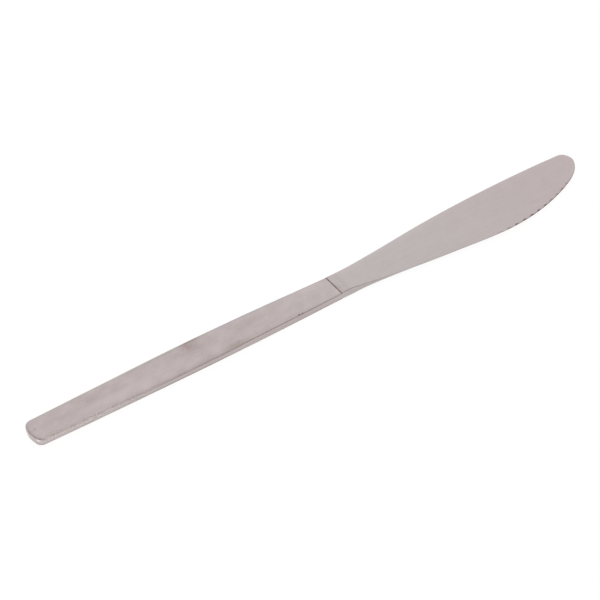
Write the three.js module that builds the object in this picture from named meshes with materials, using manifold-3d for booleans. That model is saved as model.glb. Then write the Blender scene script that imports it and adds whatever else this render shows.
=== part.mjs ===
// A table knife, lying flat: a forged blade with a full-length tang, and two steel scales soldered to it.
// Millimetres. +X points to the blade's tip, +Y to its spine and +Z up.
// The origin lies on the table, under the middle of the knife's bounding box.
import * as THREE from "three";
import { mergeVertices } from "three/addons/utils/BufferGeometryUtils.js";
import Module from "manifold-3d";

const wasm = await Module();
wasm.setup();

// Handle: stations are measured from the butt.
const handleLength = 109.3;
const handleThickness = 2.75;
const buttWidth = 9.35;
const buttCornerRadius = 2.4;
const buttCrown = 0.35; // the butt's middle stands this far beyond its corners
const swellStation = 62;
const swellSpineOffset = 5.53; // from the middle line to the widest place on the spine side
const swellEdgeOffset = 5.33;
const neckSpineOffset = 4.2; // from the middle line to the neck's spine side
const neckEdgeOffset = 4.57;

// What covers the tang.
const scaleThickness = 0.3;
const scaleEdgeRadius = 0.25;
const solderThickness = 0.12;
const solderInset = 0.1; // the solder's edge lies this far inside the handle's side wall
const jointGap = 0.3; // between a scale's end and the neck's shoulder

// Blade: stations are measured from the joint, offsets from the handle's middle line.
const bladeLength = 102.3;
const neckLength = 4.5;
const spineRiseStation = 20;
const spineRiseOffset = 5.64;
const spineMiddleStation = 44;
const spineMiddleOffset = 7.96;
const spineCrestStation = 70;
const spineCrestOffset = 9.11;
const tipShoulderLength = 6.8; // from the tip back to where the spine begins to turn down
const tipShoulderOffset = 8.93;
const tipRoundLength = 1.73;
const tipRoundOffset = 8.38;
const tipOffset = 5.35;
const edgeDropStation = 20;
const edgeDropOffset = 6.08;
const edgeMiddleStation = 42;
const edgeMiddleOffset = 8.47;
const bellyStation = 65;
const bellyOffset = 10.12;
const sweepStation = 81;
const sweepOffset = 7.9;
const sweepEndStation = 95.6;
const sweepEndOffset = 2.47;
const tipUndersideLength = 1.47;
const tipUndersideRise = 1.81;

// Blade thickness: both rims thin down from the handle's thickness over the taper.
const taperLength = 24;
const spineThickness = 1.9;
const spineTipThickness = 1.1;
const edgeThickness = 0.45;
const neckChamfer = 0.3;
const tangOverlap = 3; // the tang runs this far into the neck, where both are one forging

// Scallops ground into the upper side of the cutting edge.
const serrationCount = 11;
const serrationPitch = 3.4;
const serrationTipDistance = 13.9; // from the tip along the edge to the first scallop
const serrationRadius = 1.8;
const serrationDepth = 0.28;
const serrationReach = 1.0; // how far a scallop runs in from the edge

// Fineness of the round shapes.
const curveDivisions = 9;
const roundingSegments = 4;
const rimDivisions = 60; // between two points of the blade's rim
const bladeSections = 56;
const tipCrowding = 1.6; // above 1, the sections crowd together toward the tip
const lastShare = 0.999; // the last section lies just short of the tip, where spine and edge meet
const cutterSides = 28;
const leastRadius = 0.1;
const margin = 1; // a cutting solid's excess beyond what it cuts

const middleHeight = handleThickness / 2;
const tangThickness = handleThickness - 2 * (scaleThickness + solderThickness);

// A three.js geometry as a solid that can be cut and joined.
function toSolid(geometry) {
  const bare = geometry.index ? geometry.toNonIndexed() : geometry.clone();
  bare.deleteAttribute("normal");
  bare.deleteAttribute("uv");
  const merged = mergeVertices(bare, 1e-4);
  const mesh = new wasm.Mesh({
    numProp: 3,
    vertProperties: merged.attributes.position.array,
    triVerts: new Uint32Array(merged.index.array),
  });
  return new wasm.Manifold(mesh);
}

// The solid's surface as a flat-shaded geometry.
function toGeometry(solid) {
  const { vertProperties, triVerts } = solid.getMesh();
  const indexed = new THREE.BufferGeometry();
  indexed.setAttribute("position", new THREE.BufferAttribute(vertProperties, 3));
  indexed.setIndex(new THREE.BufferAttribute(triVerts, 1));
  const faceted = indexed.toNonIndexed();
  faceted.computeVertexNormals();
  return faceted;
}

// A block between two corners.
function block(low, high) {
  const size = new THREE.Vector3().subVectors(high, low);
  const geometry = new THREE.BoxGeometry(size.x, size.y, size.z);
  const centre = new THREE.Vector3().addVectors(low, high).multiplyScalar(0.5);
  geometry.translate(centre.x, centre.y, centre.z);
  return toSolid(geometry);
}

// The handle's outline seen from above, drawn inset by the same amount all round and ending at endStation.
function handleOutline(inset, endStation) {
  const butt = buttWidth / 2 - inset;
  const swellSpine = swellSpineOffset - inset;
  const swellEdge = swellEdgeOffset - inset;
  const neckSpine = neckSpineOffset - inset;
  const neckEdge = neckEdgeOffset - inset;
  const corner = Math.max(buttCornerRadius - inset, leastRadius);
  const cornerStation = inset + buttCrown + corner;
  const outline = new THREE.Shape();
  outline.moveTo(endStation, neckSpine);
  outline.lineTo(handleLength, neckSpine);
  outline.splineThru([
    new THREE.Vector2(swellStation, swellSpine),
    new THREE.Vector2(cornerStation, butt),
  ]);
  outline.absarc(cornerStation, butt - corner, corner, Math.PI / 2, Math.PI, false);
  outline.quadraticCurveTo(inset - buttCrown, 0, inset + buttCrown, corner - butt);
  outline.absarc(cornerStation, corner - butt, corner, Math.PI, 1.5 * Math.PI, false);
  outline.splineThru([
    new THREE.Vector2(swellStation, -swellEdge),
    new THREE.Vector2(handleLength, -neckEdge),
  ]);
  outline.lineTo(endStation, -neckEdge);
  outline.closePath();
  return outline;
}

// A slab of that outline between two heights, with its rims rounded when an edge radius is given.
function handleSlab({ inset = 0, bottom, top, endStation, edgeRadius = 0 }) {
  const geometry = new THREE.ExtrudeGeometry(handleOutline(inset + edgeRadius, endStation), {
    depth: top - bottom - 2 * edgeRadius,
    curveSegments: curveDivisions,
    bevelEnabled: edgeRadius > 0,
    bevelThickness: edgeRadius,
    bevelSize: edgeRadius,
    bevelSegments: roundingSegments,
  });
  geometry.translate(0, 0, bottom + edgeRadius);
  return toSolid(geometry);
}

// The blade's rim is one curve: from the joint along the spine, round the tip and back along the edge.
const spinePoints = [
  new THREE.Vector3(0, neckSpineOffset, 0),
  new THREE.Vector3(neckLength, neckSpineOffset, 0),
  new THREE.Vector3(spineRiseStation, spineRiseOffset, 0),
  new THREE.Vector3(spineMiddleStation, spineMiddleOffset, 0),
  new THREE.Vector3(spineCrestStation, spineCrestOffset, 0),
  new THREE.Vector3(bladeLength - tipShoulderLength, tipShoulderOffset, 0),
  new THREE.Vector3(bladeLength - tipRoundLength, tipRoundOffset, 0),
  new THREE.Vector3(bladeLength, tipOffset, 0),
];
const edgePoints = [
  new THREE.Vector3(bladeLength - tipUndersideLength, tipUndersideRise, 0),
  new THREE.Vector3(sweepEndStation, -sweepEndOffset, 0),
  new THREE.Vector3(sweepStation, -sweepOffset, 0),
  new THREE.Vector3(bellyStation, -bellyOffset, 0),
  new THREE.Vector3(edgeMiddleStation, -edgeMiddleOffset, 0),
  new THREE.Vector3(edgeDropStation, -edgeDropOffset, 0),
  new THREE.Vector3(neckLength, -neckEdgeOffset, 0),
  new THREE.Vector3(0, -neckEdgeOffset, 0),
];
const rim = new THREE.CatmullRomCurve3([...spinePoints, ...edgePoints], false, "centripetal");
rim.arcLengthDivisions = rimDivisions * (rim.points.length - 1);
const rimLength = rim.getLength();
const spineShare = rim.getLengths()[rimDivisions * (spinePoints.length - 1)] / rimLength;

// Places on the rim: share runs from 0 at the joint to 1 at the tip, along the spine or along the edge.
const spineAt = (share) => rim.getPointAt(share * spineShare);
const edgeAt = (share) => rim.getPointAt(1 - share * (1 - spineShare));

// The share of the handle's extra thickness that is left at a station: all at the neck, none after the taper.
function taperLeft(station) {
  const share = THREE.MathUtils.clamp((station - neckLength) / taperLength, 0, 1);
  return (1 - share) ** 3;
}

function spineThicknessAt(station) {
  const plain = THREE.MathUtils.mapLinear(station, 0, bladeLength, spineThickness, spineTipThickness);
  return plain + (handleThickness - plain) * taperLeft(station);
}

function edgeThicknessAt(station) {
  return edgeThickness + (handleThickness - edgeThickness) * taperLeft(station);
}

// One cross-section of the blade, as eight points: the two rims with their corners chamfered.
function bladeSection(share) {
  const spine = spineAt(share);
  const edge = edgeAt(share);
  const spineHalf = spineThicknessAt(spine.x) / 2;
  const edgeHalf = edgeThicknessAt(edge.x) / 2;
  const chamfer = neckChamfer * taperLeft((spine.x + edge.x) / 2);
  const across = new THREE.Vector3().subVectors(spine, edge).normalize();
  const at = (place, inward, height) => new THREE.Vector3(
    handleLength + place.x + across.x * inward,
    place.y + across.y * inward,
    middleHeight + height,
  );
  return [
    at(edge, chamfer, -edgeHalf),
    at(spine, -chamfer, -spineHalf),
    at(spine, 0, -spineHalf + chamfer),
    at(spine, 0, spineHalf - chamfer),
    at(spine, -chamfer, spineHalf),
    at(edge, chamfer, edgeHalf),
    at(edge, 0, edgeHalf - chamfer),
    at(edge, 0, -edgeHalf + chamfer),
  ];
}

// A closed skin over a row of sections that all have the same number of points.
function loft(sections) {
  const size = sections[0].length;
  const positions = sections.flat().flatMap((point) => point.toArray());
  const triangles = [];
  for (let row = 0; row + 1 < sections.length; row++) {
    for (let i = 0; i < size; i++) {
      const a = row * size + i;
      const b = row * size + ((i + 1) % size);
      triangles.push(a, b, b + size, a, b + size, a + size);
    }
  }
  const last = (sections.length - 1) * size;
  for (let i = 1; i + 1 < size; i++) {
    triangles.push(0, i + 1, i, last, last + i, last + i + 1);
  }
  const geometry = new THREE.BufferGeometry();
  geometry.setAttribute("position", new THREE.Float32BufferAttribute(positions, 3));
  geometry.setIndex(triangles);
  return toSolid(geometry);
}

// A cylinder that grinds one scallop, rising inward from the cutting edge.
function serrationCutter(distanceFromTip) {
  const share = spineShare + distanceFromTip / rimLength;
  const place = rim.getPointAt(share);
  const along = rim.getTangentAt(share);
  const outward = new THREE.Vector3(-along.y, along.x, 0);
  const axis = outward.multiplyScalar(serrationReach).setZ(-serrationDepth).normalize();
  const height = middleHeight + edgeThicknessAt(place.x) / 2 - serrationDepth + serrationRadius;
  const geometry = new THREE.CylinderGeometry(
    serrationRadius,
    serrationRadius,
    2 * (serrationReach + margin),
    cutterSides,
  );
  geometry.applyQuaternion(new THREE.Quaternion().setFromUnitVectors(new THREE.Vector3(0, 1, 0), axis));
  geometry.translate(handleLength + place.x, place.y, height);
  return toSolid(geometry);
}

// The forging: blade and neck, less the scallops, joined to the tang.
function makeBlade() {
  const sections = [];
  for (let i = 0; i <= bladeSections; i++) {
    const run = i / bladeSections;
    sections.push(bladeSection(lastShare * (1 - (1 - run) ** tipCrowding)));
  }
  let forging = loft(sections);
  for (let i = 0; i < serrationCount; i++) {
    forging = forging.subtract(serrationCutter(serrationTipDistance + i * serrationPitch));
  }
  const tang = handleSlab({
    bottom: middleHeight - tangThickness / 2,
    top: middleHeight + tangThickness / 2,
    endStation: handleLength + tangOverlap,
  });
  return forging.add(tang);
}

// The part of a slab between two heights, cut square a gap short of the neck's shoulder.
function coverSlice(slab, bottom, top) {
  const reach = swellSpineOffset + swellEdgeOffset;
  const room = block(
    new THREE.Vector3(-margin, -reach, bottom),
    new THREE.Vector3(handleLength - jointGap, reach, top),
  );
  return slab.intersect(room);
}

// A scale is the outer slice of a bar with rounded rims.
function makeScale(bottom, top) {
  const bar = handleSlab({
    bottom: 0,
    top: handleThickness,
    endStation: handleLength + margin,
    edgeRadius: Math.min(scaleEdgeRadius, scaleThickness),
  });
  return coverSlice(bar, bottom, top);
}

function makeSolder(bottom) {
  const top = bottom + solderThickness;
  const sheet = handleSlab({
    inset: solderInset,
    bottom: bottom - margin,
    top: top + margin,
    endStation: handleLength + margin,
  });
  return coverSlice(sheet, bottom, top);
}

const bladeSteel = new THREE.MeshStandardMaterial({ color: 0xbdb4b4, roughness: 0.42, metalness: 1 });
const handleSteel = new THREE.MeshStandardMaterial({ color: 0xb6acab, roughness: 0.36, metalness: 1 });
const darkSolder = new THREE.MeshStandardMaterial({ color: 0x4a3d38, roughness: 0.7, metalness: 0.4 });

const knife = new THREE.Group();

function addPiece(name, solid, material) {
  const mesh = new THREE.Mesh(toGeometry(solid), material);
  mesh.name = name;
  knife.add(mesh);
}

const upperScaleBottom = handleThickness - scaleThickness;
addPiece("blade", makeBlade(), bladeSteel);
addPiece("upper_handle_scale", makeScale(upperScaleBottom, handleThickness + margin), handleSteel);
addPiece("lower_handle_scale", makeScale(-margin, scaleThickness), handleSteel);
addPiece("upper_solder_layer", makeSolder(upperScaleBottom - solderThickness), darkSolder);
addPiece("lower_solder_layer", makeSolder(scaleThickness), darkSolder);

// The pieces are drawn from the butt and the middle line, so the group moves its box's middle to the origin.
const box = new THREE.Box3().setFromObject(knife);
const shift = box.getCenter(new THREE.Vector3()).negate().setZ(-box.min.z);
for (const piece of knife.children) {
  piece.position.copy(shift);
}

export default knife;
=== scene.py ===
# %% [markdown]
# # A satin steel table knife
# The knife is one steel forging, blade and full tang together, with a thin steel scale soldered
# on each side of the tang. This lesson dresses the imported CAD model: the CAD gives the sizes, and
# every piece here is remodelled on the same outline, with the soft edges, the wandering seam and
# the worn finish that the plain solids leave out. The finish also carries painted shade and
# painted highlights.

# %% Load the imported frame
import math

import bmesh
import bpy
import numpy as np
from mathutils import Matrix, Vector, kdtree, noise


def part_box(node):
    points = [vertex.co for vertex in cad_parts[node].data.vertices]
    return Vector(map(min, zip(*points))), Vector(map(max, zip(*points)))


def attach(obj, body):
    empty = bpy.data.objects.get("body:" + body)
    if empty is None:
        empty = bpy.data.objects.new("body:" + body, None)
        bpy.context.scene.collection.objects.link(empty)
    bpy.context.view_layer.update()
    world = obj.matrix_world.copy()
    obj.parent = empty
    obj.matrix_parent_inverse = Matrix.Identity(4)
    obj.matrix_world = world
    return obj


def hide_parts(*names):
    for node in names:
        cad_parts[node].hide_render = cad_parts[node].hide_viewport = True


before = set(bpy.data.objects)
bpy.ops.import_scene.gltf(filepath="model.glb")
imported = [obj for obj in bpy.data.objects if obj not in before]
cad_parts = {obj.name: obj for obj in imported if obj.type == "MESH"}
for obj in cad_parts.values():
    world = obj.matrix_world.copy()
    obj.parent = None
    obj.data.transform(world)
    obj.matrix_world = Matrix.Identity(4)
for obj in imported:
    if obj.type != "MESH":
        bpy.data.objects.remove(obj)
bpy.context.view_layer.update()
print("CAD nodes:", ", ".join(sorted(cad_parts)))

# %% [markdown]
# ## Heights and stations
# The knife lies flat, so its pieces are layers: a scale, solder, the tang, solder and the other
# scale. The heights could be typed in again, but reading them from the CAD boxes keeps every
# layer on its CAD node if the part is ever packed with other sizes. Places along the knife are
# called stations here, from the butt at one end to the tip at the other. Wear has widened the
# joint line, so the neck's shoulder starts a little nearer the tip than in the CAD.

# %% Read the layers and the stations from the CAD
MM = 0.001
JOINT_GAP = 0.3 * MM
SHOULDER_WEAR = 0.15 * MM

forging_low, forging_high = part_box("blade")
scale_low, scale_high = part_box("upper_handle_scale")
solder_low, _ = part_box("upper_solder_layer")

TOP = scale_high.z
MIDDLE = TOP / 2
SCALE_DEPTH = TOP - scale_low.z
TANG_DEPTH = TOP - solder_low.z
BUTT = forging_low.x
TIP = forging_high.x
SCALE_END = scale_high.x
JOINT = SCALE_END + JOINT_GAP
SHOULDER = JOINT + SHOULDER_WEAR


def mm(*values, start=0.0):
    """Values in millimetres as metres, counted from a start."""
    return [start + value * MM for value in values]


lengths = f"handle {(JOINT - BUTT) / MM:.1f} mm, blade {(TIP - JOINT) / MM:.1f} mm"
print(f"{lengths}, {TOP / MM:.2f} mm thick")

# %% [markdown]
# ## One outline for every piece
# Tang, scales and solder share the edge that was ground in one go on the finished knife. It could
# be drawn again as a curve, but a level cut through a merged copy of the CAD forging gives the
# very same edge as a loop of points. The loop is then spaced evenly and blurred by a third of a
# millimetre, which takes the CAD's facets off.

# %% Cut the outline from the forging
CUT_BELOW_MIDDLE = 0.15 * MM
MERGE_DISTANCE = 0.001 * MM
CUT_TOLERANCE = 0.0001 * MM


def level_cut(node, height):
    """The outline that a level cut leaves on a CAD node, as points in order."""
    copy = bmesh.new()
    copy.from_mesh(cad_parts[node].data)
    bmesh.ops.remove_doubles(copy, verts=copy.verts, dist=MERGE_DISTANCE)
    made = bmesh.ops.bisect_plane(
        copy,
        geom=copy.verts[:] + copy.edges[:] + copy.faces[:],
        dist=CUT_TOLERANCE,
        plane_co=(0, 0, height),
        plane_no=(0, 0, 1),
    )
    edges = [e for e in made["geom_cut"] if isinstance(e, bmesh.types.BMEdge)]
    unused = set(edges)
    here = edges[0].verts[0]
    points = []
    while True:
        points.append(here.co[:2])
        edge = next((e for e in here.link_edges if e in unused), None)
        if edge is None:
            break
        unused.discard(edge)
        here = edge.other_vert(here)
    copy.free()
    return np.array(points)


cut_loop = level_cut("blade", MIDDLE - CUT_BELOW_MIDDLE)
print("level cut:", len(cut_loop), "points")

# %% Space the outline evenly
RIM_STEP = 0.02 * MM
RIM_BLUR = 0.35 * MM
BLUR_STEPS = 60


def even_rim(points):
    """The loop at even steps, blurred, from the butt along the spine to the tip and back."""
    closed = np.vstack([points, points[:1]])
    along = np.concatenate([[0], np.cumsum(np.hypot(*np.diff(closed, axis=0).T))])
    places = np.linspace(0, along[-1], int(along[-1] / RIM_STEP), endpoint=False)
    loop = np.stack([np.interp(places, along, closed[:, axis]) for axis in (0, 1)], axis=1)
    reach = np.arange(-BLUR_STEPS, BLUR_STEPS + 1)
    weights = np.exp(-((reach * RIM_STEP / RIM_BLUR) ** 2) / 2)
    weights /= weights.sum()
    loop = sum(np.roll(loop, step, axis=0) * weight for step, weight in zip(reach, weights))
    loop = np.roll(loop, -np.argmin(loop[:, 0]), axis=0)
    quarter = len(loop) // 4
    if loop[quarter, 1] < loop[-quarter, 1]:
        loop = np.roll(loop[::-1], 1, axis=0)
    return loop


rim = even_rim(cut_loop)
tip_step = int(np.argmax(rim[:, 0]))
rim_along = np.roll(rim, -1, axis=0) - np.roll(rim, 1, axis=0)
rim_along /= np.hypot(*rim_along.T)[:, None]
rim_inward = np.stack([rim_along[:, 1], -rim_along[:, 0]], axis=1)
rim_tree = kdtree.KDTree(len(rim))
for step, point in enumerate(rim):
    rim_tree.insert((*point, 0), step)
rim_tree.balance()
print(f"outline: {len(rim)} points, {len(rim) * RIM_STEP / MM:.0f} mm round")

# %% [markdown]
# ## Plates that follow the outline
# Each piece is a thin plate, so each starts as a grid that is extruded once into two skins with a
# wall between them. The grid's columns stand across the knife and its rows run along it, crowded
# towards the outline where the edges are rounded. A bevel would be quicker, but one of a single
# width can't follow edges that grow rounder along the knife. A distance to the outline can: the
# nearer a point of the grid lies to it, the further it drops.

# %% Places inside the outline
END_TRIM = 0.002 * MM
CROWDING = 2.2


def crowded(count):
    """Shares from -1 to 1 across the knife, crowded towards both sides."""
    even = np.linspace(-1, 1, 2 * count + 1)
    return np.sign(even) * (1 - (1 - np.abs(even)) ** CROWDING)


def gathered(end, length, count):
    """Stations over a length from one end of a piece, crowded towards that end."""
    return np.sort(end + length * np.linspace(0, 1, count) ** 2)


def sides(stations, curve):
    """A closed curve's edge-side and spine-side offsets at stations along the knife."""
    curve = np.roll(curve, -np.argmin(curve[:, 0]), axis=0)
    far = int(np.argmax(curve[:, 0]))
    back = np.vstack([curve[far:], curve[:1]])[::-1]
    spine = np.interp(stations, curve[: far + 1, 0], curve[: far + 1, 1])
    edge = np.interp(stations, back[:, 0], back[:, 1])
    return edge, spine


def plan(stations, shares, curve):
    """Grid places inside a curve, their distance in from the rim and the rim step beside them."""
    edge, spine = sides(stations, curve)
    x = np.repeat(stations[:, None], len(shares), axis=1)
    y = ((edge + spine)[:, None] + (spine - edge)[:, None] * shares[None, :]) / 2
    nearest = [rim_tree.find((px, py, 0))[1] for px, py in zip(x.ravel(), y.ravel())]
    beside = np.array(nearest).reshape(x.shape)
    away = np.stack([x, y], axis=2) - rim[beside]
    distance = np.maximum((away * rim_inward[beside]).sum(axis=2) - END_TRIM, 0)
    return x, y, distance, beside


print("four rows over half a width end at", np.round(crowded(4)[5:], 2))

# %% Rounded edges from a distance


def rounding(distance, radius):
    """How far a rounded edge has dropped at a distance in from the outline."""
    inward = np.clip(radius - distance, 0, radius)
    return radius - np.sqrt(radius**2 - inward**2)


def drawn_in(depth, radius):
    """How far in from the outline a rounded edge has reached a depth."""
    above = np.clip(radius - depth, 0, radius)
    return radius - np.sqrt(radius**2 - above**2)


def inset_rim(distance):
    """The rim moved inwards by a distance at each of its points."""
    return rim + rim_inward * distance[:, None]


print(f"an edge of radius 1 has dropped {rounding(0.5, 1.0):.2f} halfway in")

# %% A plate from a grid
SHARP_ANGLE = math.radians(38)


def plate(name, x, y, low, high, marks=None):
    """A closed plate: a grid extruded once, with its two skins moved to their places."""
    columns, rows = x.shape[0] - 1, x.shape[1] - 1
    mesh = bmesh.new()
    layers = {mark: mesh.verts.layers.float.new(mark) for mark in marks or {}}
    bmesh.ops.create_grid(mesh, x_segments=columns, y_segments=rows, size=1)
    raised = bmesh.ops.extrude_face_region(mesh, geom=mesh.faces[:])["geom"]
    upper = {v for v in raised if isinstance(v, bmesh.types.BMVert)}
    for v in mesh.verts:
        place = round((v.co.x + 1) / 2 * columns), round((v.co.y + 1) / 2 * rows)
        skin = 1 if v in upper else 0
        v.co = x[place], y[place], (low, high)[skin][place]
        for mark, layer in layers.items():
            v[layer] = marks[mark][skin][place]
    bmesh.ops.recalc_face_normals(mesh, faces=mesh.faces)
    volume = mesh.calc_volume(signed=True) / MM**3
    data = bpy.data.meshes.new(name)
    mesh.to_mesh(data)
    mesh.free()
    data.shade_smooth()
    data.set_sharp_from_angle(angle=SHARP_ANGLE)
    piece = bpy.data.objects.new(name, data)
    bpy.context.collection.objects.link(piece)
    print(f"{name}: {2 * len(data.polygons)} triangles, {volume:.0f} cubic mm")
    return piece


# %% [markdown]
# ## Rounded handle edges
# The handle was polished after the scales were on, and then worn by hands and cloths. Near the
# blade its edges are nearly crisp. They grow rounder towards the butt, most of all along the
# upper edge on the cutting side. A short table of radii along the knife holds this, and every
# piece of the handle reads the same table, so their edges run into each other. The seam isn't
# quite level either: it sags at mid-handle, where the scales are thicker, and then rises again.

# %% Rounding along the handle
ROUNDING_STATIONS = [*mm(0, 20, 46, 66, 86, start=BUTT), JOINT]
UPPER_RADII = mm(0.75, 0.65, 0.5, 0.5, 0.43, 0.28)
LOWER_RADII = mm(0.85, 0.45, 0.5, 0.5, 0.3, 0.22)
NEAR_STATIONS = mm(14, 40, start=BUTT)
NEAR_EXTRA = 0.4 * MM
NEAR_BLEND = 2 * MM
SEAM_STATIONS = mm(20, 32, 44, 60, 67, 74, 90, 104, start=BUTT)
SEAM_DROPS = mm(0, 0.15, 0.3, 0.3, 0.12, -0.07, -0.07, 0)


def handle_rounding(x, y, side):
    """The radius of the handle's upper (side 1) or lower (side -1) edges beside a place."""
    radius = np.interp(x, ROUNDING_STATIONS, UPPER_RADII if side > 0 else LOWER_RADII)
    if side > 0:
        on_edge_side = np.interp(y, (-NEAR_BLEND, NEAR_BLEND), (1, 0))
        radius = radius + np.interp(x, NEAR_STATIONS, (NEAR_EXTRA, 0)) * on_edge_side
    return radius


def seam_drop(stations):
    """How much lower than at the ends the seam lies at stations along the knife."""
    return np.interp(stations, SEAM_STATIONS, SEAM_DROPS)


print("upper edge radii, mm:", [round(radius / MM, 2) for radius in UPPER_RADII])

# %% [markdown]
# ## The forging: tang, neck and blade
# One bar of steel is forged flat for the tang, left full at the neck and drawn out to the blade,
# which thins from spine to edge. The tang's faces lie lower than the neck's by a scale and its
# solder, so a small upright shoulder stands where the handle ends. The blade could be lofted from
# cross-sections, but thickness as a formula over one grid keeps tang, neck and blade a single
# mesh. Spine and edge meet at the tip, so there the thickness changes along the outline instead.
# Distances from the tip run along the outline: below zero on the spine, above it on the edge.
# The scallops are ground into the upper side of the edge, each with the side of a small wheel.

# %% Thickness of the blade
NECK_LENGTH = 4.5 * MM
TAPER_LENGTH = 24 * MM
SPINE_THICKNESS = 1.9 * MM
SPINE_TIP_THICKNESS = 1.1 * MM
EDGE_THICKNESS = 0.45 * MM
TIP_REACH = 2.5 * MM


def blade_lean(x, shares, from_tip):
    """Shares from edge (-1) to spine (1), judged along the outline right at the tip."""
    rim_tip = rim[:, 0].max()
    near = np.interp(x, (rim_tip - TIP_REACH, rim_tip), (0, 1))
    near = near**2 * (3 - 2 * near)
    along = np.interp(from_tip, (-2 * TIP_REACH, 2 * TIP_REACH), (1, -1))
    return shares[None, :] + (along - shares[None, :]) * near


def blade_flat(x, lean):
    """Half the blade's thickness before its edges are rounded."""
    taper_start = JOINT + NECK_LENGTH
    left = np.interp(x, (taper_start, taper_start + TAPER_LENGTH), (1, 0)) ** 3
    spine = np.interp(x, (JOINT, TIP), (SPINE_THICKNESS, SPINE_TIP_THICKNESS))
    spine = spine + (TOP - spine) * left
    edge = EDGE_THICKNESS + (TOP - EDGE_THICKNESS) * left
    return (edge + (spine - edge) * (lean + 1) / 2) / 2


print(f"spine {SPINE_THICKNESS / MM:.1f} to {SPINE_TIP_THICKNESS / MM:.1f} mm thick")

# %% Edges and scallops of the blade
SPINE_STATIONS = [*mm(0, 25, start=JOINT), TIP]
SPINE_RADII = mm(0.22, 0.14, 0.12)
EDGE_STATIONS = mm(0, 8, 20, 34, start=JOINT)
EDGE_RADII = mm(0.35, 0.33, 0.12, 0.06)
EDGE_BLEND = mm(-2, 7)
BEVEL_STATIONS = mm(14, 26, start=JOINT)
BEVEL_TIP_FADE = 4 * MM
BEVEL_WIDTH = 0.6 * MM
BEVEL_DROP = 0.08 * MM
SCALLOP_COUNT = 11
SCALLOP_PITCH = 3.4 * MM
SCALLOP_TIP_DISTANCE = 13.9 * MM
SCALLOP_DEPTH = 0.24 * MM
SCALLOP_REACH = 0.55 * MM
SCALLOP_RADIUS = 2.3 * MM


def blade_rounding(x, from_tip):
    """The blade's edge radius: soft on the spine, small on the cutting edge, mixed at the tip."""
    spine = np.interp(x, SPINE_STATIONS, SPINE_RADII)
    edge = np.interp(x, EDGE_STATIONS, EDGE_RADII)
    return spine + (edge - spine) * np.interp(from_tip, EDGE_BLEND, (0, 1))


def edge_bevel(x, from_tip, distance):
    """Depth taken off by the narrow bevel along the cutting edge."""
    bevel = np.interp(distance, (0, BEVEL_WIDTH), (BEVEL_DROP, 0))
    bevel *= np.interp(from_tip, (0, BEVEL_TIP_FADE), (0, 1))
    return bevel * np.interp(x, BEVEL_STATIONS, (0, 1))


def scallops(from_tip, distance):
    """Depth ground away by the scallops at a place along and in from the edge."""
    cut = np.zeros_like(distance)
    for k in range(SCALLOP_COUNT):
        along = from_tip - SCALLOP_TIP_DISTANCE - k * SCALLOP_PITCH
        bowl = SCALLOP_DEPTH * (1 - distance / SCALLOP_REACH) - along**2 / (2 * SCALLOP_RADIUS)
        cut = np.maximum(cut, bowl)
    return cut


print(f"{SCALLOP_COUNT} scallops over {(SCALLOP_COUNT - 1) * SCALLOP_PITCH / MM:.0f} mm of edge")

# %% Shape the forging
BUTT_REACH = 3 * MM
BUTT_COLUMNS = 40
PLAIN_START = BUTT + 4 * MM
COLUMN_STEP = 1 * MM
TANG_COLUMNS = 84
SHOULDER_STEP = 0.02 * MM
FINE_START = JOINT + 60 * MM
BLADE_COLUMNS = 59
FINE_COLUMNS = 240
TIP_FINE = 6.9 * MM
TIP_START = TIP - 7 * MM
TIP_COLUMNS = 44
FORGING_ROWS = 20
THINNEST = 0.05 * MM
NOTCH_DEPTH = 0.06 * MM
NOTCH_REACH = 1.2 * MM

forging_stations = np.concatenate(
    [
        gathered(rim[:, 0].min() + END_TRIM, BUTT_REACH, BUTT_COLUMNS),
        np.linspace(PLAIN_START, JOINT - COLUMN_STEP, TANG_COLUMNS),
        [SHOULDER - SHOULDER_STEP, SHOULDER],
        np.linspace(JOINT + COLUMN_STEP, FINE_START - COLUMN_STEP, BLADE_COLUMNS),
        np.linspace(FINE_START, TIP_START, FINE_COLUMNS),
        gathered(rim[:, 0].max() - END_TRIM, -TIP_FINE, TIP_COLUMNS),
    ]
)
forging_shares = crowded(FORGING_ROWS)
x, y, distance, beside = plan(forging_stations, forging_shares, rim)
from_tip = (beside - tip_step) * RIM_STEP
in_handle = x < SHOULDER - SHOULDER_STEP / 2

tang_half = [
    MIDDLE - np.maximum(TANG_DEPTH + seam_drop(x), rounding(distance, handle_rounding(x, y, side)))
    for side in (1, -1)
]
blade_half = blade_flat(x, blade_lean(x, forging_shares, from_tip))
blade_half -= rounding(distance, blade_rounding(x, from_tip))
blade_half -= edge_bevel(x, from_tip, distance)
ground = np.where(in_handle, 0, scallops(from_tip, distance))
low = MIDDLE - np.where(in_handle, tang_half[1], blade_half)
high = MIDDLE + np.where(in_handle, tang_half[0], blade_half)
high = np.maximum(high - ground, low + THINNEST)

notch = NOTCH_DEPTH * scallops(from_tip, 0 * distance) / SCALLOP_DEPTH
notch *= np.interp(distance, (0, NOTCH_REACH), (1, 0))
x = x + rim_inward[beside, 0] * notch
y = y + rim_inward[beside, 1] * notch
print("forging grid:", x.shape, "points")

# %% [markdown]
# ## Painted shade, painted highlights and gritty wear
# Worn steel isn't one tone, and this finish also holds painted light. Painted shade lies in the
# scallops and along the neck's upper edge, a thin brown line of painted shade lies along the
# blade's edge and the foot of the walls, and painted highlights lighten the spine, the tip and the
# butt. These could be brushed on by hand in vertex paint. Here each is a formula of the distance
# to the outline, so it follows its edge by itself. It is stored on the vertices as an attribute
# that the finish reads.

# %% Fades from the outline
GRIT_STATIONS = mm(0, 6, 28, 42, start=BUTT)
GRIT_AMOUNTS = (0.3, 1, 1, 0)
GRIT_WIDTH = 0.6 * MM
GRIT_SIDES = mm(-2, 2)
GRIT_SHARES = (1, 0.15)


def at_outline(distance, width):
    """1 at the outline, fading inwards over about a width."""
    return np.exp(-distance / width)


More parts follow.
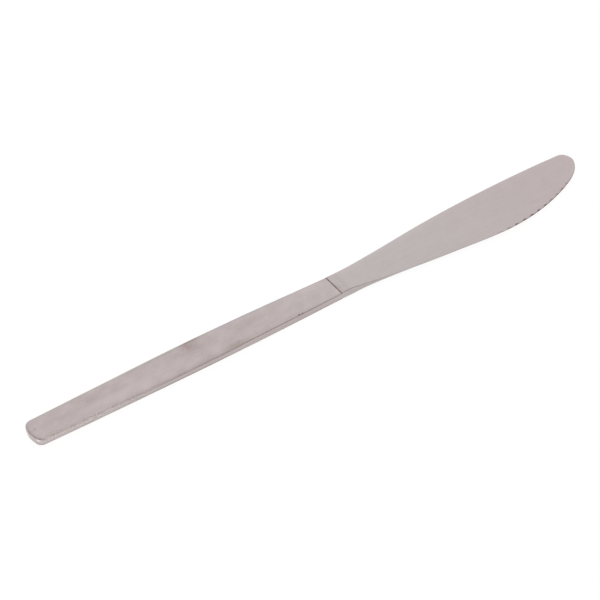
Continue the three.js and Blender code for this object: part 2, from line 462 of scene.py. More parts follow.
def beside_outline(distance, offset, width):
    """1 along a line at an offset from the outline, fading on both sides."""
    return np.exp(-(((distance - offset) / width) ** 2))


def worn_grit(x, y, distance):
    """How gritty the worn edge is: most on the cutting side, a little in from the butt."""
    grit = np.interp(x, GRIT_STATIONS, GRIT_AMOUNTS) * at_outline(distance, GRIT_WIDTH)
    return grit * np.interp(y, GRIT_SIDES, GRIT_SHARES)


print("grit reaches", round((GRIT_STATIONS[-1] - BUTT) / MM), "mm from the butt")

# %% Painted shade on the forging
SCALLOP_SHADE_FULL = 0.45 * SCALLOP_DEPTH
SCALLOP_SHADE_STATIONS = mm(14, 24, 31, 41, 44.5, 48)
SCALLOP_SHADE_AMOUNTS = (0.65, 0.75, 1, 1, 0.6, 0.25)
WALL_REACH = 0.02 * MM
CREASE_START = JOINT + 0.5 * MM
CREASE_END = JOINT + 22 * MM
CREASE_OFFSET = 0.15 * MM
CREASE_WIDTH = 0.07 * MM
RIM_LINE_STATIONS = [*mm(0, 5, start=JOINT), *mm(-42, -28, start=TIP)]
RIM_LINE_AMOUNTS = (0, 0.15, 0.15, 1)
RIM_LINE_WIDTH = 0.16 * MM
TIP_STATIONS = mm(-6, -3, 1, 3)
TIP_AMOUNTS = (0, 0.4, 0.4, 1)
FOOT_STATIONS = mm(0, 28, 44, 101, 109, 125, 133, start=BUTT)
FOOT_AMOUNTS = (0.22, 0.22, 0.12, 0.12, 0.06, 0.04, 0)
FOOT_WIDTH = 0.2 * MM

# Painted shade: the scallops' hollows are darkened most where they are ground deepest.
scallop_shade = np.clip(ground / SCALLOP_SHADE_FULL, 0, 1) * np.interp(from_tip, SCALLOP_SHADE_STATIONS, SCALLOP_SHADE_AMOUNTS)
wall_scallop_shade = np.where(distance < WALL_REACH, scallop_shade, 0)
# Painted shade: a thin dark line along the neck's upper rounded edge.
crease_shade = beside_outline(distance, CREASE_OFFSET, CREASE_WIDTH)
crease_shade *= np.interp(x, (JOINT, CREASE_START), (0, 1)) * np.interp(x, (JOINT, CREASE_END), (1, 0))
# Painted shade: a thin dark line along the blade's edge, strongest towards the tip.
rim_shade = np.interp(x, RIM_LINE_STATIONS, RIM_LINE_AMOUNTS) * at_outline(distance, RIM_LINE_WIDTH)
rim_shade *= np.interp(from_tip, TIP_STATIONS, TIP_AMOUNTS)
# Painted shade along the foot of the walls, where the knife meets the floor.
foot_shade = np.interp(x, FOOT_STATIONS, FOOT_AMOUNTS) * at_outline(distance, FOOT_WIDTH)
print(f"dirt on {np.mean(scallop_shade > 0):.1%} of the forging's upper points")

# %% Painted highlights on the forging
SPINE_GLOSS_STATIONS = mm(0, 4, 42, 60, start=JOINT)
SPINE_GLOSS_AMOUNTS = (0, 0.55, 0.55, 0.2)
SPINE_GLOSS_WIDTH = 1.1 * MM
TIP_GLOSS_MIDDLE = 5 * MM
TIP_GLOSS_REACH = mm(2, 8)
TIP_GLOSS_AMOUNT = 0.5
TIP_GLOSS_OFFSET = 0.6 * MM
TIP_GLOSS_WIDTH = 0.25 * MM
BUTT_GLOSS_STATIONS = mm(0, 8, 44, start=BUTT)
BUTT_GLOSS_AMOUNTS = (0.55, 0.5, 0)
BUTT_GLOSS_WIDTH = 0.3 * MM

# Painted highlights: a bright band along the spine, a thin bright line just in from the tip's rim,
# and a bright rim round the butt.
spine_highlight = np.interp(x, SPINE_GLOSS_STATIONS, SPINE_GLOSS_AMOUNTS)
spine_highlight *= at_outline(distance, SPINE_GLOSS_WIDTH) * (from_tip < 0)
tip_highlight = np.interp(np.abs(from_tip - TIP_GLOSS_MIDDLE), TIP_GLOSS_REACH, (TIP_GLOSS_AMOUNT, 0))
tip_highlight *= beside_outline(distance, TIP_GLOSS_OFFSET, TIP_GLOSS_WIDTH) * (x > JOINT)
butt_highlight = np.interp(x, BUTT_GLOSS_STATIONS, BUTT_GLOSS_AMOUNTS)
butt_highlight *= at_outline(distance, BUTT_GLOSS_WIDTH)
print(f"brightest mark: {max(spine_highlight.max(), tip_highlight.max(), butt_highlight.max()):.2f}")

# %% Make the forging
LOWER_GRIT = 0.2

grit = worn_grit(x, y, distance)
forging_marks = {
    "scallop_shade": (wall_scallop_shade, scallop_shade),
    "crease_shade": (0 * crease_shade, crease_shade),
    "rim_shade": (rim_shade + foot_shade, rim_shade),
    "painted_highlight": (spine_highlight, spine_highlight + tip_highlight + butt_highlight),
    "grit": (LOWER_GRIT * grit, grit),
}
forging = plate("forging", x, y, low, high, forging_marks)

# %% [markdown]
# ## The two handle scales
# Each scale is a thin strip of the same steel, cut to the tang's outline and slightly crowned by
# polishing. Its own outline lies where the rounded edge of the handle has come down nearly to the
# scale's underside. What is left there is a low upright lip, tallest at mid-handle, and the seam
# lies under it. Solidify could give a flat strip its thickness, but not this shared rounding, so
# the scales are plates like the forging.

# %% Shape of a scale
LIP_STATIONS = mm(20, 50, 68, 80, 109, start=BUTT)
LIP_DEPTHS = mm(0.01, 0.1, 0.1, 0.05, 0.03)
SCALE_CROWN = 0.04 * MM
SCALE_THINNEST = 0.02 * MM
END_BREAK = 0.05 * MM
END_REACH = 0.8 * MM
SCALE_COLUMNS = 100
END_COLUMNS = 14
SCALE_ROWS = 16


def scale_depth(stations):
    """The thickness of a scale at stations along the knife."""
    return SCALE_DEPTH + seam_drop(stations)


def scale_grid(side):
    """Places over a scale, their distance in from the rim and the heights of face and back."""
    lip_depth = np.interp(rim[:, 0], LIP_STATIONS, LIP_DEPTHS)
    radii = handle_rounding(rim[:, 0], rim[:, 1], side)
    lip = inset_rim(drawn_in(scale_depth(rim[:, 0]) - lip_depth, radii))
    stations = np.concatenate(
        [
            gathered(lip[:, 0].min() + END_TRIM, BUTT_REACH, BUTT_COLUMNS),
            np.linspace(PLAIN_START, SCALE_END - COLUMN_STEP, SCALE_COLUMNS),
            gathered(SCALE_END, -END_REACH, END_COLUMNS),
        ]
    )
    shares = crowded(SCALE_ROWS)
    x, y, distance, _ = plan(stations, shares, lip)
    depth = rounding(distance, handle_rounding(x, y, side)) + SCALE_CROWN * shares[None, :] ** 2
    depth = depth + rounding(SCALE_END - x, END_BREAK)
    depth = np.minimum(depth, scale_depth(x) - SCALE_THINNEST)
    face = MIDDLE + side * (MIDDLE - depth)
    back = MIDDLE + side * (MIDDLE - scale_depth(x))
    return x, y, distance, face, back


print("scale lip, mm:", [round(depth / MM, 2) for depth in LIP_DEPTHS])

# %% Make the scales
CLEAN_STATIONS = mm(20, 50, start=BUTT)
SEAM_WIDTH = 0.3 * MM
SEAM_END_FADE = 0.4 * MM
SMEAR_STATIONS = mm(18, 30, start=BUTT)
SMEAR_AMOUNT = 0.25
SMEAR_OFFSET = 0.55 * MM
SMEAR_WIDTH = 0.28 * MM


def seam_tarnish_and_shade(x, distance):
    """Tarnish and painted shade beside the seam past the clean butt, and tarnish smeared on the
    butt's face.
    """
    seam = at_outline(distance, SEAM_WIDTH) * np.interp(x, CLEAN_STATIONS, (0, 1))
    smear = beside_outline(distance, SMEAR_OFFSET, SMEAR_WIDTH)
    seam = seam + smear * np.interp(x, SMEAR_STATIONS, (SMEAR_AMOUNT, 0))
    return seam * np.interp(x, (JOINT - SEAM_END_FADE, JOINT), (1, 0))


def make_scale(name, side):
    """A handle scale; side is 1 for the upper one and -1 for the lower one."""
    x, y, distance, face, back = scale_grid(side)
    none = np.zeros_like(x)
    marks = {"seam": (none, seam_tarnish_and_shade(x, distance)), "grit": (none, worn_grit(x, y, distance))}
    if side > 0:
        return plate(name, x, y, back, face, marks)
    return plate(name, x, y, face, back, {mark: skins[::-1] for mark, skins in marks.items()})


upper_scale = make_scale("upper_scale", 1)
lower_scale = make_scale("lower_scale", -1)

# %% [markdown]
# ## The solder
# The solder shows only as a thin line: along the seam, where it has shrunk back unevenly between
# tang and scale, and across the knife, where a bead fills the gap between the scale's end and the
# shoulder of the neck. A dark line in the steel's finish would look alike from one side, but a
# real layer keeps the line in its place from every side.

# %% Make the solder layers
SOLDER_SHY = 0.05 * MM
SOLDER_UNEVEN = 0.04 * MM
UNEVEN_SIZE = 2 * MM
UNEVEN_SLICE = 3.7
SHY_STATIONS = [*CLEAN_STATIONS, SCALE_END - 3 * MM, SCALE_END]
SHY_SHARES = (0.3, 1, 1, 0)
BEAD_DEPTH = 0.06 * MM
BEAD_SHY = 0.03 * MM
BEAD_STEP = 0.01 * MM
BEAD_CREST = SCALE_END + 0.2 * MM
BEAD_STATIONS = (SCALE_END, SCALE_END + BEAD_STEP, BEAD_CREST, SHOULDER - BEAD_SHY)
SOLDER_BUTT_COLUMNS = 20
SOLDER_COLUMNS = 200
SOLDER_ROWS = 10

uneven = [noise.noise(Vector((*(point / UNEVEN_SIZE), UNEVEN_SLICE))) for point in rim]
shy = SOLDER_SHY + SOLDER_UNEVEN * np.array(uneven)
shy *= np.interp(rim[:, 0], SHY_STATIONS, SHY_SHARES)
bond_depth = (TANG_DEPTH - SCALE_DEPTH) / 2 + scale_depth(rim[:, 0])


def make_solder(name, side):
    """The solder under one scale, with the bead that fills the gap at the shoulder."""
    radii = handle_rounding(rim[:, 0], rim[:, 1], side)
    edge = inset_rim(drawn_in(bond_depth, radii) + shy)
    stations = np.concatenate(
        [
            gathered(edge[:, 0].min() + END_TRIM, BUTT_REACH, SOLDER_BUTT_COLUMNS),
            np.linspace(PLAIN_START, SCALE_END - COLUMN_STEP, SOLDER_COLUMNS),
            BEAD_STATIONS,
        ]
    )
    x, y, distance, _ = plan(stations, crowded(SOLDER_ROWS), edge)
    bead = np.maximum(rounding(distance, handle_rounding(x, y, side)) + BEAD_SHY, BEAD_DEPTH)
    under = scale_depth(x)
    depth = np.where(x > SCALE_END + BEAD_STEP / 2, np.minimum(bead, under), under)
    outer = MIDDLE + side * (MIDDLE - depth)
    inner = MIDDLE + side * (MIDDLE - TANG_DEPTH - seam_drop(x))
    if side > 0:
        return plate(name, x, y, inner, outer)
    return plate(name, x, y, outer, inner)


upper_solder = make_solder("upper_solder", 1)
lower_solder = make_solder("lower_solder", -1)

# %% [markdown]
# ## Nodes for the finishes
# A finish is built from Object coordinates, which are metres in the knife's own frame, so every
# pattern has a real size and stays put when the knife turns. Nodes could be wired one by one, but
# these helpers keep the code of a finish close to a sentence.

# %% Helpers for single nodes


def new_finish(name):
    """An empty material and its node tree."""
    material = bpy.data.materials.new(name)
    material.use_nodes = True
    material.node_tree.nodes.clear()
    return material, material.node_tree


def feed(tree, socket, value):
    """Link a socket to another one, or set its own value."""
    if isinstance(value, bpy.types.NodeSocket):
        tree.links.new(value, socket)
    else:
        socket.default_value = value


def add(tree, kind, settings=None, **sockets):
    """A node with its settings made and its sockets linked or set."""
    made = tree.nodes.new(kind)
    for key, value in (settings or {}).items():
        setattr(made, key, value)
    for key, value in sockets.items():
        feed(tree, made.inputs[key.replace("_", " ")], value)
    return made


def maths(tree, operation, *values, clamp=False):
    """The result of a Math node on sockets and numbers."""
    made = add(tree, "ShaderNodeMath", {"operation": operation, "use_clamp": clamp})
    for socket, value in zip(made.inputs, values):
        feed(tree, socket, value)
    return made.outputs[0]


def attribute(tree, name):
    """A value stored on the piece's own vertices."""
    return add(tree, "ShaderNodeAttribute", {"attribute_name": name}).outputs["Fac"]


# %% Helpers for patterns and colours
MIX_FACTOR, MIX_FIRST, MIX_SECOND, MIX_RESULT = 0, 6, 7, 2


def between(tree, value, low, high):
    """A value mapped smoothly from low..high to 0..1."""
    made = add(tree, "ShaderNodeMapRange", {"interpolation_type": "SMOOTHSTEP"}, Value=value)
    made.inputs["From Min"].default_value = low
    made.inputs["From Max"].default_value = high
    return made.outputs[0]


def mixed(tree, factor, first, second):
    """A colour between a colour socket and a plain colour."""
    made = add(tree, "ShaderNodeMix", {"data_type": "RGBA"})
    feed(tree, made.inputs[MIX_FACTOR], factor)
    feed(tree, made.inputs[MIX_FIRST], first)
    feed(tree, made.inputs[MIX_SECOND], (*second, 1))
    return made.outputs[MIX_RESULT]


def scaled(tree, colour, gain):
    """A colour made brighter or darker by a gain."""
    made = add(tree, "ShaderNodeVectorMath", {"operation": "SCALE"}, Scale=gain)
    tree.links.new(colour, made.inputs[0])
    return made.outputs[0]


def streaks(tree, place, sizes, turn=0.0, detail=3.0):
    """Noise stretched to these feature sizes in metres, turned about Z."""
    mapping = add(tree, "ShaderNodeMapping", {"vector_type": "TEXTURE"}, Vector=place, Scale=sizes)
    mapping.inputs["Rotation"].default_value = (0, 0, turn)
    made = add(tree, "ShaderNodeTexNoise", Vector=mapping.outputs[0], Scale=1.0, Detail=detail)
    return made.outputs[0]


def drifting(tree, value, stops):
    """A colour that drifts through stops, given as (value, colour), in order."""
    first, last = stops[0][0], stops[-1][0]
    share = add(tree, "ShaderNodeMapRange", Value=value)
    share.inputs["From Min"].default_value = first
    share.inputs["From Max"].default_value = last
    ramp = add(tree, "ShaderNodeValToRGB", Fac=share.outputs[0])
    for _ in stops[2:]:
        ramp.color_ramp.elements.new(0.5)
    for element, (place, colour) in zip(ramp.color_ramp.elements, stops):
        element.position = (place - first) / (last - first)
        element.color = (*colour, 1)
    return ramp.outputs["Color"]


# %% A patch of stain
RAGGED_SHARE = 0.8
PATCH_OUTSIDE = 1.4
PATCH_INSIDE = 0.4


def patch(tree, place, ragged, centre, half_sizes):
    """How much of a ragged, soft-edged patch covers a place: 1 in its middle, 0 outside."""
    mapping = add(tree, "ShaderNodeMapping", {"vector_type": "TEXTURE"}, Vector=place)
    mapping.inputs["Location"].default_value = mm(*centre)
    mapping.inputs["Scale"].default_value = mm(*half_sizes)
    length = add(tree, "ShaderNodeVectorMath", {"operation": "LENGTH"})
    tree.links.new(mapping.outputs[0], length.inputs[0])
    distance = maths(tree, "MULTIPLY_ADD", ragged, RAGGED_SHARE, length.outputs["Value"])
    return between(tree, distance, PATCH_OUTSIDE, PATCH_INSIDE)


# %% [markdown]
# ## Satin steel
# The steel is a warm grey metal that was brushed lengthwise and then used for years: streaks from
# the brushing, smudges of a slightly different grey, hair scratches, a gritty worn edge near the
# butt, and brown tarnish along the seam. Painted shade darkens the scallops, the neck's crease,
# the edges and the rounded edge above the seam, and painted highlights lighten the spine, the tip
# and the butt. A picture of scratches could be wrapped round it, but noise stretched to real sizes
# needs no file, never repeats and has no seams. The marks on the vertices and a list of patches,
# some of them painted light, lie over it.

# %% Patterns in the steel
BRUSHING = mm(14, 0.22, 0.22)
BRUSHING_RANGE = (0.3, 0.7)
BROAD_STREAKS = mm(30, 1.6, 1.6)
SMUDGES = mm(5, 3.5, 3.5)
SMUDGE_TURN = 0.6
SPECKLES = mm(0.6, 0.5, 0.5)
GRAINS = mm(0.65, 0.35, 0.35)
HAIRS = (
    (mm(9, 0.16, 9), 0.35, (0.7, 0.76)),
    (mm(7, 0.16, 7), -0.6, (0.72, 0.78)),
)


def steel_patterns(tree, place):
    """The noises that brushed and worn steel is made of, by name."""
    hairs = [
        between(tree, streaks(tree, place, sizes, turn), *limits)
        for sizes, turn, limits in HAIRS
    ]
    return {
        "brushing": between(tree, streaks(tree, place, BRUSHING), *BRUSHING_RANGE),
        "broad": streaks(tree, place, BROAD_STREAKS, detail=4.0),
        "smudge": streaks(tree, place, SMUDGES, SMUDGE_TURN, detail=4.0),
        "speckle": streaks(tree, place, SPECKLES, detail=2.0),
        "grains": streaks(tree, place, GRAINS, detail=1.0),
        "hair": maths(tree, "MAXIMUM", *hairs),
    }


# %% Tone, marks and roughness of the steel
BROAD_SHARE = 0.35
SPECKLE_SHARE = 0.4
NOISE_MEAN = 0.5
TONE_MEAN = NOISE_MEAN * (1 + BROAD_SHARE + SPECKLE_SHARE)
HAIR_GAIN = 0.05
GRIT_GAIN = 1.5
BROKEN_RANGE = (0.15, 0.6)
ROUGH_SWING = 0.1
HAIR_ROUGH = 0.08


def steel_gain(tree, patterns, swing, grain):
    """How much brighter or darker than its tint the steel is, about 1 on average."""
    tone = maths(tree, "MULTIPLY_ADD", patterns["broad"], BROAD_SHARE, patterns["smudge"])
    tone = maths(tree, "MULTIPLY_ADD", patterns["speckle"], SPECKLE_SHARE, tone)
    start = 1 - TONE_MEAN * swing - NOISE_MEAN * grain
    gain = maths(tree, "MULTIPLY_ADD", tone, swing, start)
    gain = maths(tree, "MULTIPLY_ADD", patterns["brushing"], grain, gain)
    gain = maths(tree, "MULTIPLY_ADD", patterns["hair"], HAIR_GAIN, gain)
    grains = maths(tree, "SUBTRACT", patterns["grains"], NOISE_MEAN)
    grains = maths(tree, "MULTIPLY", grains, attribute(tree, "grit"))
    return maths(tree, "MULTIPLY_ADD", grains, GRIT_GAIN, gain)


def stained(tree, colour, place, speckle, marks, patches):
    """The steel's colour with its marks, broken up by speckles, and its patches laid over it."""
    broken = between(tree, speckle, *BROKEN_RANGE)
    for mark, (shade, strength) in marks.items():
        amount = maths(tree, "MULTIPLY", attribute(tree, mark), broken)
        colour = mixed(tree, maths(tree, "MULTIPLY", amount, strength, clamp=True), colour, shade)
    for shade, strength, centre, half_sizes in patches:
        cover = patch(tree, place, speckle, centre, half_sizes)
        colour = mixed(tree, maths(tree, "MULTIPLY", cover, strength), colour, shade)
    return colour


def steel_roughness(tree, patterns, roughness):
    """Roughness that changes with brushing, smudges and hair scratches."""
    rough = maths(tree, "MULTIPLY_ADD", patterns["brushing"], ROUGH_SWING, roughness - ROUGH_SWING)
    rough = maths(tree, "MULTIPLY_ADD", patterns["smudge"], ROUGH_SWING, rough)
    return maths(tree, "MULTIPLY_ADD", patterns["hair"], HAIR_ROUGH, rough)


# %% The whole steel
HAIR_RELIEF = -0.6
STEEL_BUMP = 0.12
STEEL_RELIEF = 0.05 * MM


def satin_steel(name, tints, swing, grain, roughness, marks, patches):
    """Brushed and worn steel whose tint drifts along the knife, with marks and patches on it."""
    material, tree = new_finish(name)
    place = add(tree, "ShaderNodeTexCoord").outputs["Object"]
    along = add(tree, "ShaderNodeSeparateXYZ", Vector=place).outputs["X"]
    patterns = steel_patterns(tree, place)
    gain = steel_gain(tree, patterns, swing, grain)
    colour = scaled(tree, drifting(tree, along, tints), gain)
    colour = stained(tree, colour, place, patterns["speckle"], marks, patches)
    relief = maths(tree, "MULTIPLY_ADD", patterns["hair"], HAIR_RELIEF, patterns["brushing"])
    bump = add(tree, "ShaderNodeBump", Height=relief, Strength=STEEL_BUMP, Distance=STEEL_RELIEF)
    shader = add(
        tree,
        "ShaderNodeBsdfPrincipled",
        Base_Color=colour,
        Metallic=1.0,
        Roughness=steel_roughness(tree, patterns, roughness),
        Normal=bump.outputs[0],
    )
    add(tree, "ShaderNodeOutputMaterial", Surface=shader.outputs[0])
    print(f"{name}: {len(tree.nodes)} nodes")
    return material


# %% [markdown]
# ## Steel of the blade and of the handle
# Both are the same steel, but the scales are more smudged and stained than the forging. Two
# separate node trees could be made, but one function with two sets of values keeps them alike.
# Each tint is a colour at a station. Each patch has a colour, a strength, a centre and half
# sizes, in millimetres from the frame's origin, so each stain, painted highlight and painted
# sheen can be found on the knife with a ruler and changed on one line.

# %% Colours of wear and of painted light
FACE = TOP / MM
# Real brown tarnish, also used for the painted shade in the scallops, along the edges and by the
# seam.
TARNISH_AND_SHADE = (0.09, 0.045, 0.032)
DARK_SMUDGE = (0.26, 0.19, 0.18)
RED_SMUDGE = (0.30, 0.17, 0.16)
OLIVE_STAIN = (0.25, 0.185, 0.13)
# A lighter steel tone, used for the painted highlights and sheen and for lighter patches.
BRIGHT_STEEL = (0.62, 0.56, 0.55)
# The colour of a painted highlight.
HIGHLIGHT_GLINT = (1.0, 0.93, 0.9)
# The colour of the painted shade along the neck's crease.
CREASE_SHADE_RED = (0.13, 0.045, 0.045)
print(f"the upper face is at {FACE:.2f} mm")

# %% Make the blade's steel
BLADE_TINTS = (
    (BUTT, (0.522, 0.462, 0.456)),
    (BUTT + 35 * MM, (0.507, 0.448, 0.442)),
    (BUTT + 65 * MM, (0.502, 0.443, 0.437)),
    (JOINT - 25 * MM, (0.486, 0.429, 0.423)),
    (JOINT - 6 * MM, (0.5, 0.444, 0.439)),
    (JOINT + 4 * MM, (0.508, 0.457, 0.457)),
    (JOINT + 30 * MM, (0.508, 0.457, 0.457)),
    (TIP - 15 * MM, (0.508, 0.441, 0.439)),
)
# Painted shade in the scallops, along the crease and the edges, and painted highlights.
BLADE_MARKS = {
    "scallop_shade": (TARNISH_AND_SHADE, 0.95),
    "crease_shade": (CREASE_SHADE_RED, 0.9),
    "rim_shade": (TARNISH_AND_SHADE, 0.7),
    "painted_highlight": (BRIGHT_STEEL, 1.0),
}
BLADE_PATCHES = (
    (DARK_SMUDGE, 0.1, (6.4, 0.0, FACE), (1.8, 14, 3)),
    (TARNISH_AND_SHADE, 0.14, (4.3, -1.8, FACE), (0.9, 4.2, 1)),
    # A painted highlight on the butt's near corner.
    (HIGHLIGHT_GLINT, 1.0, (-105.0, -3.2, 2.25), (1.3, 1.0, 0.6)),
)

blade_finish = satin_steel(
    "satin_blade_steel",
    BLADE_TINTS,
    swing=0.12,
    grain=0.07,
    roughness=0.36,
    marks=BLADE_MARKS,
    patches=BLADE_PATCHES,
)

# %% Make the handle's steel
HANDLE_TINTS = (
    (BUTT, (0.497, 0.432, 0.429)),
    (BUTT + 25 * MM, (0.505, 0.44, 0.436)),
    (BUTT + 60 * MM, (0.5, 0.438, 0.431)),
    (JOINT, (0.522, 0.463, 0.456)),
)
# Tarnish beside the seam, with painted shade on the rounded edge above it.
HANDLE_MARKS = {"seam": (TARNISH_AND_SHADE, 0.22)}
HANDLE_PATCHES = (
    # A painted sheen: a long lighter band over the cutting-edge side of the handle's face.
    (BRIGHT_STEEL, 0.34, (-77, -1.7, FACE), (26, 3.0, 1)),
    (DARK_SMUDGE, 0.17, (-85, 2.3, FACE), (6.5, 2.2, 1)),
    (DARK_SMUDGE, 0.15, (-47, 2.0, FACE), (8.5, 3.6, 1)),
    (RED_SMUDGE, 0.22, (-49.0, 3.9, FACE), (2.4, 3.0, 1)),
    (DARK_SMUDGE, 0.22, (-48.4, 3.9, FACE), (4.2, 3.0, 1)),
    (DARK_SMUDGE, 0.6, (-47.3, 5.4, FACE), (5.5, 0.7, 1)),
    (OLIVE_STAIN, 0.36, (-36.2, -4.0, FACE), (6.0, 1.9, 1)),
    (DARK_SMUDGE, 0.1, (-47, -4.0, FACE), (7, 1.8, 1)),
    (DARK_SMUDGE, 0.12, (-30, -3.6, FACE), (9, 2.0, 1)),
    (DARK_SMUDGE, 0.16, (-28.5, 1.8, FACE), (9.5, 2.6, 1)),
    (DARK_SMUDGE, 0.15, (-15, -3.5, FACE), (7, 1.4, 1)),
    (DARK_SMUDGE, 0.12, (-24, -1.4, FACE), (5, 2.4, 1)),
    (DARK_SMUDGE, 0.1, (-86, -2.6, FACE), (6, 1.8, 1)),
    (DARK_SMUDGE, 0.12, (-53, 2.4, FACE), (3.5, 2.0, 1)),
    (BRIGHT_STEEL, 0.14, (-62, 1.0, FACE), (7, 5, 1)),
    (BRIGHT_STEEL, 0.18, (-41, -0.6, FACE), (6, 2.6, 1)),
    (DARK_SMUDGE, 0.4, (-103.7, 0.9, FACE), (0.6, 0.6, 1)),
    (TARNISH_AND_SHADE, 0.35, (-105.3, -1.9, FACE - 0.1), (0.6, 1.7, 0.6)),
    (TARNISH_AND_SHADE, 0.6, (-104.6, -3.3, FACE - 0.1), (1.0, 0.5, 0.6)),
    (TARNISH_AND_SHADE, 0.35, (-105.6, 0.8, FACE), (0.5, 2.0, 0.6)),
    (OLIVE_STAIN, 0.15, (-100.4, -3.4, FACE), (1.8, 1.1, 1)),
    (TARNISH_AND_SHADE, 0.9, (-12.9, -4.3, FACE), (0.75, 0.5, 1)),
    (TARNISH_AND_SHADE, 0.8, (-11.7, -4.4, FACE), (0.5, 0.4, 1)),
)

handle_finish = satin_steel(
    "satin_handle_steel",
    HANDLE_TINTS,
    swing=0.34,
    grain=0.07,
    roughness=0.38,
    marks=HANDLE_MARKS,
    patches=HANDLE_PATCHES,
)

# %% [markdown]
# ## Tarnished solder
# Old solder is dull and mottled. Near the butt, hands have rubbed it clean and silvery, round the
# butt's end it is red-brown, and from mid-handle to the joint it has gone brown. Two materials
# could split it there, but one colour ramp along the knife lets the tints run into each other. It
# is a rough metal, so the line keeps its tone from every side.

# %% Make the solder's finish
SOLDER_TINTS = (
    (BUTT, (0.42, 0.26, 0.225)),
    (BUTT + 1.6 * MM, (0.42, 0.26, 0.225)),
    (BUTT + 3.4 * MM, (0.8, 0.7, 0.67)),
    (BUTT + 30 * MM, (0.7, 0.6, 0.57)),
    (BUTT + 56 * MM, (0.16, 0.088, 0.062)),
    (JOINT - 36 * MM, (0.48, 0.295, 0.235)),
    (JOINT - 28 * MM, (0.4, 0.265, 0.215)),
    (JOINT - 4 * MM, (0.26, 0.175, 0.14)),
    (JOINT, (0.295, 0.225, 0.195)),
)
RUBBED_SOLDER = (0.42, 0.35, 0.33)
RUBBED_CENTRE = (3.2, -4.4, FACE - 0.3)
RUBBED_HALF_SIZES = (2.4, 1.3, 1.2)
RUBBED_STRENGTH = 0.8
MOTTLES = mm(1.2, 0.6, 0.6)
MOTTLE_RANGE = (0.3, 0.7)
MOTTLE_GAIN, DARKEST_GAIN = 0.5, 0.75
MOTTLE_ROUGH, SMOOTHEST = 0.2, 0.55
SOLDER_BUMP = 0.4
SOLDER_RELIEF = 0.1 * MM
SOLDER_METALLIC = 0.6


def dull_solder(name):
    """Mottled solder, clean near the butt and tarnished further on."""
    material, tree = new_finish(name)
    place = add(tree, "ShaderNodeTexCoord").outputs["Object"]
    along = add(tree, "ShaderNodeSeparateXYZ", Vector=place).outputs["X"]
    mottle = streaks(tree, place, MOTTLES, detail=4.0)
    rubbed = patch(tree, place, mottle, RUBBED_CENTRE, RUBBED_HALF_SIZES)
    rubbed = maths(tree, "MULTIPLY", rubbed, RUBBED_STRENGTH)
    tint = mixed(tree, rubbed, drifting(tree, along, SOLDER_TINTS), RUBBED_SOLDER)
    gain = between(tree, mottle, *MOTTLE_RANGE)
    gain = maths(tree, "MULTIPLY_ADD", gain, MOTTLE_GAIN, DARKEST_GAIN)
    bump = add(tree, "ShaderNodeBump", Height=mottle, Strength=SOLDER_BUMP, Distance=SOLDER_RELIEF)
    shader = add(
        tree,
        "ShaderNodeBsdfPrincipled",
        Base_Color=scaled(tree, tint, gain),
        Metallic=SOLDER_METALLIC,
        Roughness=maths(tree, "MULTIPLY_ADD", mottle, MOTTLE_ROUGH, SMOOTHEST),
        Normal=bump.outputs[0],
    )
    add(tree, "ShaderNodeOutputMaterial", Surface=shader.outputs[0])
    print(f"{name}: {len(tree.nodes)} nodes")
    return material


solder_finish = dull_solder("tarnished_solder")

# %% [markdown]
# ## Pieces on the frame
# Nothing moves on this knife, so every piece rides on its one body. Each takes its finish and the
# place of its CAD node, which it hides.

# %% Dress the nodes
pieces = (
    (forging, "blade", "blade_steel", blade_finish),
    (upper_scale, "upper_handle_scale", "handle_steel", handle_finish),
    (lower_scale, "lower_handle_scale", "handle_steel", handle_finish),
    (upper_solder, "upper_solder_layer", "solder", solder_finish),
    (lower_solder, "lower_solder_layer", "solder", solder_finish),
)
for piece, node, slot, finish in pieces:
    piece.data.materials.append(finish)
    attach(piece, "root")
    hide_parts(node)
print("pieces:", ", ".join(piece.name for piece, *_ in pieces))

# %% [markdown]
# ## Floor and light
# The photo shows the knife on plain white. The floor is a pale matt sheet that also shines a
# little for the camera and for reflections, so it reads as white and still takes the knife's
# shadow. Lamps could light it, but the edges of each would show in the metal. A soft sky,
# brightest above and behind towards the tip, gives the even light of a studio tent.

# %% Make the floor
FLOOR_HALF = 2.5
FLOOR_CELLS = 4
FLOOR_DROP = 0.02 * MM
FLOOR_TONE = 0.1
FLOOR_GLOW = 0.92

floor_mesh = bmesh.new()
bmesh.ops.create_grid(
    floor_mesh,
    x_segments=FLOOR_CELLS,
    y_segments=FLOOR_CELLS,
    size=FLOOR_HALF,
)
bmesh.ops.translate(floor_mesh, verts=floor_mesh.verts, vec=(0, 0, -FLOOR_DROP))
floor_data = bpy.data.meshes.new("floor")
floor_mesh.to_mesh(floor_data)
floor_mesh.free()
floor = bpy.data.objects.new("floor", floor_data)
bpy.context.collection.objects.link(floor)

floor_finish, tree = new_finish("white_sheet")
rays = add(tree, "ShaderNodeLightPath").outputs
seen = maths(tree, "MAXIMUM", rays["Is Camera Ray"], rays["Is Glossy Ray"])
seen = maths(tree, "MAXIMUM", seen, rays["Is Transmission Ray"])
matt = add(tree, "ShaderNodeBsdfDiffuse", Color=(FLOOR_TONE, FLOOR_TONE, FLOOR_TONE, 1))
glow = add(tree, "ShaderNodeEmission", Strength=maths(tree, "MULTIPLY", seen, FLOOR_GLOW))
both = add(tree, "ShaderNodeAddShader")
tree.links.new(matt.outputs[0], both.inputs[0])
tree.links.new(glow.outputs[0], both.inputs[1])
add(tree, "ShaderNodeOutputMaterial", Surface=both.outputs[0])
floor_data.materials.append(floor_finish)
print(f"floor: {2 * FLOOR_HALF:.0f} m square")

# %% Make the sky
SKY_BRIGHT = 1.02
SKY_PLAIN = 0.86
SKY_SIDE = (0.43, 0.60, 0.68)
SKY_FADE = (0.2, 0.9)

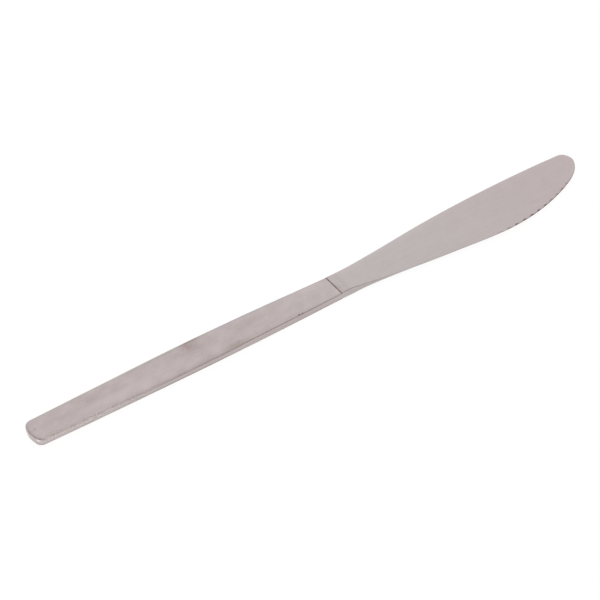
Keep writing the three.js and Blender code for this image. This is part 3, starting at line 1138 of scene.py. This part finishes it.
world = bpy.data.worlds.new("soft_sky")
world.use_nodes = True
tree = world.node_tree
tree.nodes.clear()
direction = add(tree, "ShaderNodeTexCoord").outputs["Generated"]
facing = add(tree, "ShaderNodeVectorMath", {"operation": "DOT_PRODUCT"})
tree.links.new(direction, facing.inputs[0])
facing.inputs[1].default_value = SKY_SIDE
bright = between(tree, facing.outputs["Value"], *SKY_FADE)
strength = maths(tree, "MULTIPLY_ADD", bright, SKY_BRIGHT - SKY_PLAIN, SKY_PLAIN)
sky = add(tree, "ShaderNodeBackground", Color=(1, 1, 1, 1), Strength=strength)
add(tree, "ShaderNodeOutputWorld", Surface=sky.outputs[0])
bpy.context.scene.world = world
print("sky:", SKY_PLAIN, "to", SKY_BRIGHT)

# %% [markdown]
# ## Camera
# The camera could be placed by eye, but a thin knife shows every degree. The photo was matched
# with a pinhole camera instead: the knife's outline and the joint line across the handle fix the
# angle, the distance and the lens.

# %% Make the camera
AZIMUTH = math.radians(-35.2163)
ELEVATION = math.radians(43.5884)
DISTANCE = 650 * MM
AIM = Vector(mm(-7.36, 3.25, 0.0))
IMAGE_WIDTH = 600
FOCAL_PIXELS = 2081.0
SENSOR = 36.0
CLIP_START = 0.05
CLIP_END = 20

camera_data = bpy.data.cameras.new("camera")
camera_data.sensor_width = SENSOR
camera_data.lens = FOCAL_PIXELS * SENSOR / IMAGE_WIDTH
camera_data.clip_start = CLIP_START
camera_data.clip_end = CLIP_END
camera = bpy.data.objects.new("camera", camera_data)
level = math.cos(ELEVATION)
back = Vector((math.sin(AZIMUTH) * level, -math.cos(AZIMUTH) * level, math.sin(ELEVATION)))
camera.location = AIM + back * DISTANCE
camera.rotation_euler = (math.pi / 2 - ELEVATION, 0, AZIMUTH)
bpy.context.collection.objects.link(camera)
bpy.context.scene.camera = camera
bpy.context.scene.view_settings.view_transform = "Standard"
print(f"camera: {camera_data.lens:.1f} mm lens")

# %% [markdown]
# ## Sizes
# Dressing the knife must not change its size. The last cell only brings the scene up to date.

# %% Update the scene and finish
bpy.context.view_layer.update()
